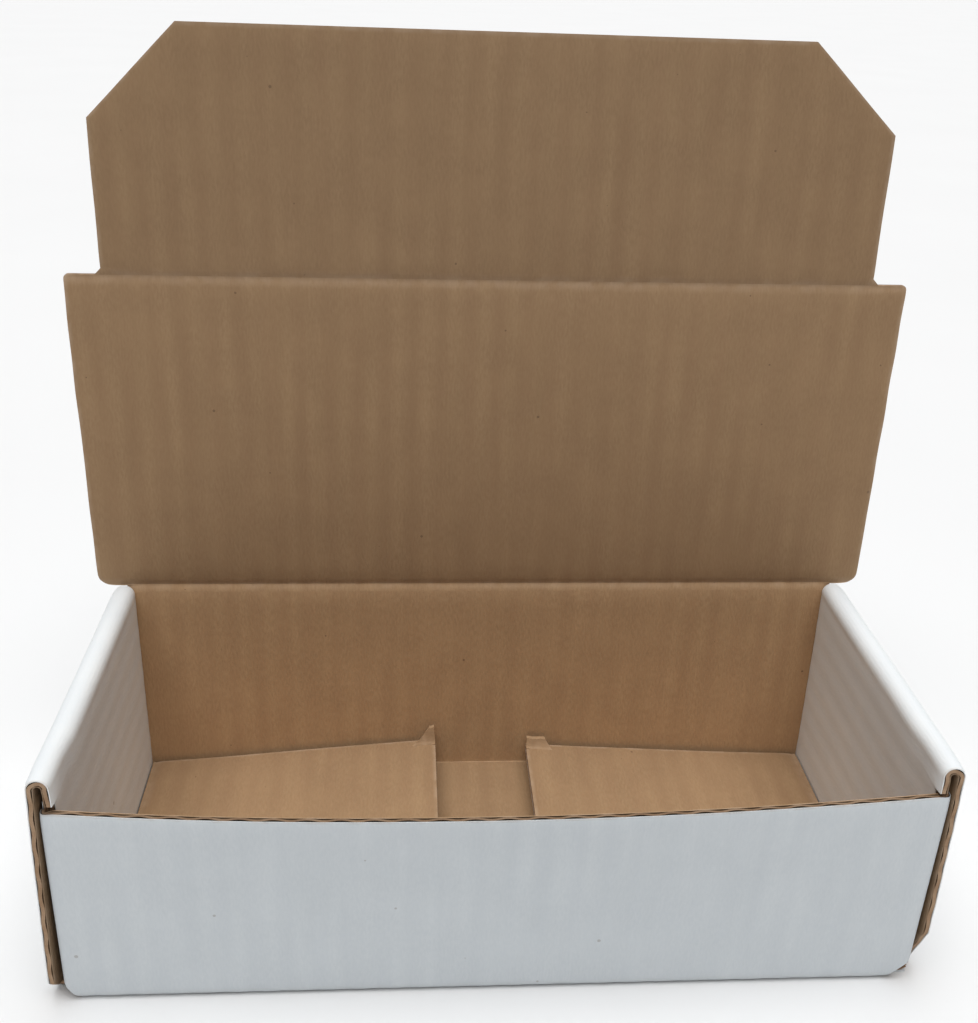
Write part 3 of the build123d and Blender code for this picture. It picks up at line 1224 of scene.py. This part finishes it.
@dataclass
class RolledSide:
    """A side of the tray: outer wall, roll over the top, and inner wall, in one run of board."""

    workshop: Workshop
    side: Side
    splay: float
    foot_cut: tuple[float, float]
    splay_power: float = 0.8
    give: float = 0.6 * MM
    give_start: float = 22 * MM
    give_run: float = 9 * MM
    notch_room: float = 0.4 * MM
    front_room: float = 0.15 * MM
    flap_squeeze: float = 0.6
    warp: float = 0.3 * MM
    inner_warp: float = 0.4
    # Painted shade: the brown paper inside the roll, seen in the arch and at the raw edges, darkened to 0.55.
    # Painted light: the white faces lightened by 1.32, against the shade on the inner walls.
    brown_tone: float = 0.55
    white_tone: float = 1.32

    def build(self) -> None:
        """Builds the side and the dust flaps inside it."""
        sizes = self.workshop.sizes
        radius, roll = sizes.fold_radius, sizes.roll_radius
        seed = 20 + self.side.value
        centre = sizes.side_height - roll
        half_top = sizes.half_inner + 2 * roll
        foot = radius * math.pi / 2
        moves = [
            (foot, -90.0),
            (centre - radius, 0.0),
            (roll * math.pi, -180.0),
            (centre - sizes.board, 0.0),
        ]
        path = FoldPath((radius, 0.0), 180.0, moves)
        roll_start = foot + centre - radius
        roll_end = roll_start + roll * math.pi
        uneven = Warp(seed, self.warp, 70 * MM)
        sign = self.side.value

        def place(u: Array, v: Array, n: Array) -> Array:
            """Folds the board up, over and down again."""
            points, angles = path.at(v)
            into = points[..., 0] + n * np.sin(angles)
            z = points[..., 1] - n * np.cos(angles)
            rise = np.clip(points[..., 1] / centre, 0, 1)
            swell = uneven(u, points[..., 1]) * rise * np.where(v > roll_end, self.inner_warp, 1.0)
            lean = self.splay * (1 - rise) ** self.splay_power * np.where(v > roll_start, 0.0, 1.0)
            near = np.clip((-u - self.give_start) / self.give_run, 0, 1)
            rolled = np.clip((v - roll_start) / (roll_end - roll_start), 0, 1)
            give = self.give * near**2 * (3 - 2 * near) * rolled
            return np.stack([sign * (half_top - into + swell + lean + give), u, z], axis=-1)

        front = sizes.front_face
        behind = front + sizes.board + self.front_room
        notch = roll_end + centre - sizes.front_height - self.notch_room
        back = sizes.back_face
        step = 10 * HAIR
        deep, high = self.foot_cut
        outline = Outline(
            low=[
                (0.0, front + deep),
                (foot / 2, front + deep),
                (foot / 2 + high, front),
                (notch, front),
                (notch + step, behind),
                (path.length, behind),
            ],
            high=[
                (0.0, back),
                (roll_start, back),
                (roll_start + step, back - sizes.board),
                (path.length, back - sizes.board),
            ],
        )
        word = self.side.word
        BoardPanel(
            name=f"{word}_side",
            nodes=(f"{word}_outer_wall", f"{word}_top_fold", f"{word}_inner_wall"),
            place=place,
            outline=outline,
            span=(0.0, path.length),
            rider=Rider("tray"),
            seed=seed,
            flutes=Flutes.ALONG_U,
            loose_ends=(False, True),
            creases=(foot / 2, roll_start, roll_end),
            fine=[(0.0, foot, 0.4 * MM), (roll_start, roll_end, 0.45 * MM)],
            slack=3 * MM,
            brown_tone=self.brown_tone,
            white_tone=self.white_tone,
        ).build(self.workshop)
        for where in ("front", "back"):
            self._dust_flap(where)

    def _dust_flap(self, where: str) -> None:
        """Builds the flap that a wall sends into the side.

        Args:
            where: "front" or "back", the wall that it comes from.
        """
        sizes = self.workshop.sizes
        name = f"{self.side.word}_{where}_dust_flap"
        low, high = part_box(f"{name}_inner_liner")
        sign = self.side.value
        seed = 30 + sign + (4 if where == "front" else 0)
        half_top = sizes.half_inner + 2 * sizes.roll_radius - sizes.board - 0.05 * MM

        def place(u: Array, v: Array, n: Array) -> Array:
            """Stands the flap against the outer wall, pressed flatter by it."""
            lean = (self.splay + 0.5 * MM) * (1 - v / sizes.side_height)
            return np.stack([sign * (half_top + 0.4 * lean - n * self.flap_squeeze), u, v], axis=-1)

        BoardPanel(
            name=name,
            nodes=(name,),
            place=place,
            outline=Outline.straight(low[2], high[2], low[1], high[1]),
            span=(low[2], high[2]),
            rider=Rider("tray"),
            seed=seed,
            loose_edges=(where == "back", where == "front"),
            slack=6 * MM,
        ).build(self.workshop)


@dataclass
class UprightLid:
    """The lid and its tuck flap, standing up from the back wall in one run of board."""

    workshop: Workshop
    lid_corner: float = 3.0 * MM
    top_corner: float = 1.0 * MM
    lid_lean: float = 0.2
    tuck_lean: float = 1.4
    lid_spread: tuple[float, float] = (0.9 * MM, 0.7 * MM)
    tuck_flare: tuple[float, float] = (1.0 * MM, 1.1 * MM)
    shoulder_flare: tuple[float, float] = (1.0 * MM, 0.9 * MM)
    tuck_cut: tuple[float, float] = (20.0 * MM, 20.3 * MM)
    tuck_cut_height: float = 19.6 * MM
    tuck_drop: float = 0.7 * MM
    right_sag: float = 0.7 * MM
    lid_growth: float = 0.8 * MM
    seam_rise: float = 0.3 * MM
    neck_spread: float = 2.2 * MM
    fillet: float = 1.5 * MM
    fillet_steps: int = 5
    warp: float = 0.4 * MM
    calm_reach: float = 6 * MM
    bend_reach: float = 1.6 * MM
    # Painted shade on the lid's brown face (0.85) and the tuck flap's (0.75); painted light on the back
    # wall's stretch below the lid's crease (1.26).
    lid_tone: float = 0.85
    tuck_tone: float = 0.75
    foot_tone: float = 1.26

    def build(self) -> None:
        """Builds the lid and the tuck flap."""
        sizes = self.workshop.sizes
        foot = sizes.lid_foot
        lid_end = sizes.lid_length + self.lid_growth
        tuck_end = lid_end + sizes.tuck_length - self.tuck_drop
        shoulder = tuck_end - self.tuck_cut_height
        moves = [(foot, 0.0), (lid_end, 0.0), (tuck_end - lid_end, 0.0)]
        path = FoldPath((sizes.hinge.y, sizes.hinge.z - foot), 90.0, moves)
        path.lean(1, self.lid_lean)
        path.lean(2, self.tuck_lean)
        uneven = Warp(41, self.warp, 110 * MM)
        creases = (-sizes.crease_drop, lid_end)

        def place(u: Array, v: Array, n: Array) -> Array:
            """Stands the board up, pressed in at both creases."""
            points, angles = path.at(v + foot)
            depth = n - sizes.board / 2
            calm = np.clip(v / lid_end, 0, 1)
            grooves = np.zeros_like(calm)
            for crease in creases:
                back, share = crease_groove(v - crease, sizes.board)
                depth = depth * share
                grooves = grooves + back
                calm = calm * (1 - np.exp(-(((v - crease) / self.calm_reach) ** 2)))
            depth = depth - grooves + uneven(u, v) * calm
            sag = self.right_sag * np.clip((v - shoulder) / (tuck_end - shoulder), 0, 1)
            y = points[..., 0] - depth * np.sin(angles)
            z = points[..., 1] + depth * np.cos(angles) - sag * (0.5 + u / (2 * sizes.half_tuck))
            return np.stack([u, y, z], axis=-1)

        neck_half = sizes.half_inner + self.neck_spread
        neck = -sizes.crease_drop - self.seam_rise
        seam = lid_end + self.seam_rise
        lid_edges, tuck_edges = [], []
        for index, hand in enumerate((-1, 1)):
            wide = sizes.half_lid + self.lid_spread[index]
            base = sizes.half_tuck + self.tuck_flare[index]
            points = [(-foot, neck_half)]
            points += rounded(neck, neck_half, wide, self.lid_corner, True)
            points += rounded(seam, base, wide, self.top_corner, False)
            lid_edges.append([(v, hand * half) for v, half in points])
            top = sizes.half_tuck + self.shoulder_flare[index]
            points = []
            for step in range(self.fillet_steps + 1):
                turn = math.pi / 2 * step / self.fillet_steps
                rest = self.fillet * (1 - math.cos(math.pi / 2 - turn))
                points.append((seam + self.fillet * math.sin(turn), base + rest))
            points += [(shoulder, top), (tuck_end, top - self.tuck_cut[index])]
            tuck_edges.append([(v, hand * half) for v, half in points])
        drop = Vector((0, 0, sizes.crease_drop))
        BoardPanel(
            name="lid",
            nodes=("lid",),
            place=place,
            outline=Outline(*lid_edges),
            span=(-foot, seam),
            rider=Rider("tray", "lid", *self._about(sizes.hinge - drop)),
            seed=41,
            loose_ends=(False, False),
            creases=creases,
            fine=[(-foot, 5 * MM, 0.5 * MM), (seam - 5 * MM, seam, 0.5 * MM)],
            others=("lid_crease",),
            # Painted light below the crease, painted shade above it.
            foot=(-sizes.crease_drop, self.foot_tone),
            brown_tone=self.lid_tone,
        ).build(self.workshop)
        above = Vector((0, 0, self.lid_growth + self.seam_rise + self.bend_reach))
        BoardPanel(
            name="tuck_flap",
            nodes=("tuck_flap",),
            place=place,
            outline=Outline(*tuck_edges),
            span=(seam, tuck_end),
            rider=Rider("lid", "tuck_flap", *self._about(sizes.tuck_axis + above)),
            seed=42,
            loose_ends=(False, True),
            creases=creases,
            fine=[(seam, seam + 7 * MM, 0.5 * MM), (shoulder - 1 * MM, shoulder + 1 * MM, 0.5 * MM)],
            others=("tuck_crease",),
            # Painted shade on the tuck flap's brown face.
            brown_tone=self.tuck_tone,
        ).build(self.workshop)

    def _about(self, middle: Vector) -> tuple[Vector, Vector]:
        """The stretch of board that bends at a crease.

        Args:
            middle: the middle of the bend.

        Returns:
            The points where the bend starts and ends.
        """
        reach = Vector((0, 0, self.bend_reach))
        return middle - reach, middle + reach


@dataclass
class FloorFlap:
    """A loose flap that lies on the floor from the foot of a side, and springs up a little."""

    workshop: Workshop
    side: Side
    tilt: float
    ear_height: float
    ear_blunt: float
    ear_reach: float
    start: float = 0.75 * MM
    bend_reach: float = 1.0 * MM
    curl: float = 0.5 * MM
    warp: float = 0.35 * MM
    # Painted shade: the flap's brown face darkened to 0.93.
    brown_tone: float = 0.93
    ear_grid: tuple[int, int] = (9, 11)
    ear_thickness: float = 1.1 * MM
    ear_slope: float = 2.6 * MM
    ear_sink: float = 0.1 * MM
    ear_crumple: tuple[float, float] = (0.3 * MM, 4 * MM)
    ear_rim: float = 0.6 * MM
    # Painted light: the ear's brown face lighter than the flap's by this share, as if lit from above.
    ear_light: float = 1.12

    def build(self) -> None:
        """Builds the flap and its ear."""
        sizes = self.workshop.sizes
        word, sign = self.side.word, self.side.value
        name = f"{word}_floor_flap"
        low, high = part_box(f"{name}_inner_liner")
        axis = joint_place(f"{word}_flap_lift")
        start = self.start
        reach = abs(axis.x) - min(abs(low[0]), abs(high[0]))
        length = reach / math.cos(math.radians(self.tilt))
        path = FoldPath((0.0, axis.z), 0.0, [(start, 0.0), (length, 0.0)])
        path.lean(1, -self.tilt)
        seed = 50 + sign
        uneven = Warp(seed, self.warp, 60 * MM)

        def place(u: Array, v: Array, n: Array) -> Array:
            """Lays the board down from the foot of the side, tilted up towards its free edge."""
            points, angles = path.at(v + start)
            _, share = crease_groove(v, sizes.board)
            free = np.clip(v / length, 0, 1)
            lift = uneven(u, v) * free + self.curl * free**2 * (2 * u / (high[1] - low[1])) ** 2
            depth = (n - sizes.board / 2) * share + lift
            x = points[..., 0] - start - depth * np.sin(angles)
            z = points[..., 1] + depth * np.cos(angles)
            return np.stack([sign * (abs(axis.x) - x), u, z], axis=-1)

        bend = Vector((-sign * self.bend_reach, 0, 0))
        BoardPanel(
            name=name,
            nodes=(name,),
            place=place,
            outline=Outline.straight(-start, length, low[1], high[1]),
            span=(-start, length),
            rider=Rider("tray", name, axis - bend, axis + 1.5 * bend),
            seed=seed,
            flutes=Flutes.ALONG_U,
            loose_ends=(False, True),
            creases=(0.0,),
            others=(f"{word}_floor_crease",),
            brown_tone=self.brown_tone,
        ).build(self.workshop)
        self._ear(place, length, high[1])

    def _ear(self, board: Place, length: float, back: float) -> None:
        """Builds the torn corner that curls up at the back of the free edge.

        Args:
            board: place of the flap's board.
            length: V of the free edge.
            back: U of the back edge.
        """
        word = self.side.word
        skins = [self._ear_skin(length, back, behind) for behind in (0.0, self.ear_thickness)]
        points = np.concatenate(skins)
        rows, columns = self.ear_grid
        count = rows * columns
        grid = np.arange(count).reshape(rows, columns)
        quads = grid_faces(grid)
        loop = [*grid[0, :], *grid[1:, -1], *grid[-1, -2::-1], *grid[-2::-1, 0]]
        shell = quads.tolist() + (quads[:, ::-1] + count).tolist()
        shell += [[b, a, a + count, b + count] for a, b in zip(loop, loop[1:])]
        maps = {"board": points[:, :2], "rim": np.tile([self.ear_rim, FAR], (2 * count, 1))}
        placed = board(points[:, 0], points[:, 1], points[:, 2])
        piece = make_piece(f"{word}_flap_torn_ear", placed, shell, maps, 50.0)
        # Painted light: the ear gets the flap's painted shade times its own painted light.
        self.workshop.dress(piece, Paper.INNER, self.brown_tone * self.ear_light)
        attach(piece, f"{word}_floor_flap")
        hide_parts(f"{word}_flap_ear")

    def _ear_skin(self, length: float, back: float, behind: float) -> Array:
        """The points of one face of the ear, on the flap's own U, V and height.

        Args:
            length: V of the free edge.
            back: U of the back edge.
            behind: how far this face lies under the other.

        Returns:
            The points, row by row from the foot of the ear to its tip.
        """
        rows, columns = self.ear_grid
        crumple = Warp(60 + self.side.value, *self.ear_crumple)
        points = []
        for row in range(rows):
            up = row / (rows - 1)
            height = self.ear_height * up**1.3
            for column in range(columns):
                share = column / (columns - 1)
                from_free = share * self.ear_reach * (1 - (1 - self.ear_blunt) * up)
                sway = float(crumple(np.array(from_free), np.array(height)))
                lie = self.ear_slope * (1 - up**0.8) + (self.ear_thickness - behind) * up
                under = behind * (1 - up) + self.ear_sink
                top = self.workshop.sizes.board + height - under
                points.append((back - lie + sway * up, length - from_free, top))
        return np.array(points)


# ---- studio -------------------------------------------------------------------------------------
@dataclass
class Studio:
    """Pale floor, soft light and the camera."""

    camera_place: tuple[float, float, float] = (-0.0202, -0.23443, 0.20571)
    yaw: float = 4.30
    pitch: float = 25.04
    roll: float = 1.89
    lens: float = 42.76
    sensor: float = 36.0
    sky: float = 0.16
    sun: float = 3.0
    sun_spread: float = 60.0
    sun_tilt: tuple[float, float] = (12.0, -1.0)
    backdrop: float = 0.97
    fill: float = 0.5
    fill_tilt: tuple[float, float] = (-58.0, 10.0)
    room_colour: Colour = (0.97, 0.985, 1.0, 1)
    floor_size: float = 30.0
    floor_drop: float = 0.05 * MM
    floor_dark: Colour = (0.80, 0.80, 0.80, 1)
    floor_light: Colour = (0.83, 0.83, 0.83, 1)

    def build(self) -> None:
        """Builds the studio."""
        self._floor()
        self._lights()
        self._camera()
        bpy.context.scene.view_settings.view_transform = "Standard"

    def _floor(self) -> None:
        """Lays a pale, faintly mottled floor under the carton."""
        half = self.floor_size / 2
        ends = ((-half, -half), (half, -half), (half, half), (-half, half))
        corners = [(x, y, -self.floor_drop) for x, y in ends]
        mesh = bpy.data.meshes.new("studio_floor")
        mesh.from_pydata(corners, [], [(0, 1, 2, 3)])
        material = bpy.data.materials.new("studio_floor_paint")
        material.use_nodes = True
        nodes = Nodes(material.node_tree)
        shader = material.node_tree.nodes["Principled BSDF"]
        places = nodes.add("ShaderNodeTexCoord").outputs["Object"]
        mottle = nodes.noise(places, 6.0, 3.0)
        colour = nodes.mix(mottle, self.floor_dark, self.floor_light)
        nodes.join(colour, shader.inputs["Base Color"])
        shader.inputs["Roughness"].default_value = 0.9
        shader.inputs["Specular IOR Level"].default_value = 0.1
        mesh.materials.append(material)
        floor = bpy.data.objects.new("studio_floor", mesh)
        bpy.context.scene.collection.objects.link(floor)

    def _lights(self) -> None:
        """Hangs a wide soft light overhead and a weaker one behind, in an evenly pale room."""
        world = bpy.data.worlds.new("studio_room")
        world.use_nodes = True
        background = world.node_tree.nodes["Background"]
        background.inputs["Color"].default_value = self.room_colour
        bpy.context.scene.world = world
        nodes = Nodes(world.node_tree)
        seen = nodes.add("ShaderNodeLightPath").outputs["Is Camera Ray"]
        strength = nodes.between(seen, 0.0, 1.0, self.sky, self.backdrop)
        world.node_tree.links.new(strength, background.inputs["Strength"])
        self._lamp("overhead_softbox", self.sun, self.sun_tilt)
        self._lamp("rear_fill", self.fill, self.fill_tilt)

    def _lamp(self, name: str, energy: float, tilt: tuple[float, float]) -> None:
        """Hangs one wide, far light.

        Args:
            name: the lamp's name.
            energy: how strong it is.
            tilt: turn about X and about Y from straight down, in degrees.
        """
        light = bpy.data.lights.new(name, "SUN")
        light.energy = energy
        light.angle = math.radians(self.sun_spread)
        lamp = bpy.data.objects.new(name, light)
        lamp.rotation_euler = (math.radians(tilt[0]), math.radians(tilt[1]), 0)
        bpy.context.scene.collection.objects.link(lamp)

    def _camera(self) -> None:
        """Sets the camera at its viewing angle."""
        yaw, pitch, roll = (math.radians(angle) for angle in (self.yaw, self.pitch, self.roll))
        ahead = Vector(
            (math.sin(yaw) * math.cos(pitch), math.cos(yaw) * math.cos(pitch), -math.sin(pitch))
        )
        level = Vector((math.cos(yaw), -math.sin(yaw), 0))
        upward = level.cross(ahead)
        right = level * math.cos(roll) + upward * math.sin(roll)
        top = upward * math.cos(roll) - level * math.sin(roll)
        turn = Matrix((right, top, -ahead)).transposed().to_4x4()
        data = bpy.data.cameras.new("camera")
        data.lens = self.lens
        data.sensor_width = self.sensor
        data.clip_start = 0.01
        camera = bpy.data.objects.new("camera", data)
        camera.matrix_world = Matrix.Translation(self.camera_place) @ turn
        bpy.context.scene.collection.objects.link(camera)
        bpy.context.scene.camera = camera


def main() -> None:
    """Builds the carton and the studio round it."""
    logging.basicConfig(level=logging.INFO, format="%(name)s: %(message)s")
    workshop = Workshop()
    sizes = workshop.sizes
    Base(workshop).build()
    EndWall(
        workshop,
        "front_wall",
        inward=1,
        face=sizes.front_face,
        height=sizes.front_height - 1.1 * MM,
        seed=11,
        chamfers=((3.0 * MM, 4.2 * MM), (5.6 * MM, 5.2 * MM)),
        bow=4.8 * MM,
        rise_right=0.55 * MM,
        left_draw=(0.1 * MM, 0.35 * MM),
        right_draw=(1.5 * MM, 0.6 * MM),
        edge_burr=0.45,
        # Painted shade: the front's white face darkened to 0.95, and its fluted paper, seen at the top edge,
        # to 0.7 as shade in the flute hollows.
        white_tone=0.95,
        core_tone=0.7,
    ).build()
    back_top = sizes.hinge.z - sizes.lid_foot
    EndWall(
        workshop,
        "back_wall",
        inward=-1,
        face=sizes.back_face,
        height=back_top,
        seed=12,
        loose_top=False,
        # Painted light: the back wall's brown face lightened by the lid foot's share, against the shade
        # inside the tray.
        brown_tone=UprightLid.foot_tone,
    ).build()
    RolledSide(workshop, Side.LEFT, splay=1.9 * MM, foot_cut=(4.0 * MM, 4.6 * MM)).build()
    RolledSide(workshop, Side.RIGHT, splay=0.1 * MM, foot_cut=(6.0 * MM, 13.0 * MM)).build()
    UprightLid(workshop).build()
    FloorFlap(
        workshop, Side.LEFT, tilt=4.45, ear_height=4.3 * MM, ear_blunt=0.2, ear_reach=6.2 * MM
    ).build()
    FloorFlap(
        workshop, Side.RIGHT, tilt=3.03, ear_height=2.3 * MM, ear_blunt=0.7, ear_reach=7.2 * MM
    ).build()
    Studio().build()


if __name__ == "__main__":
    main()
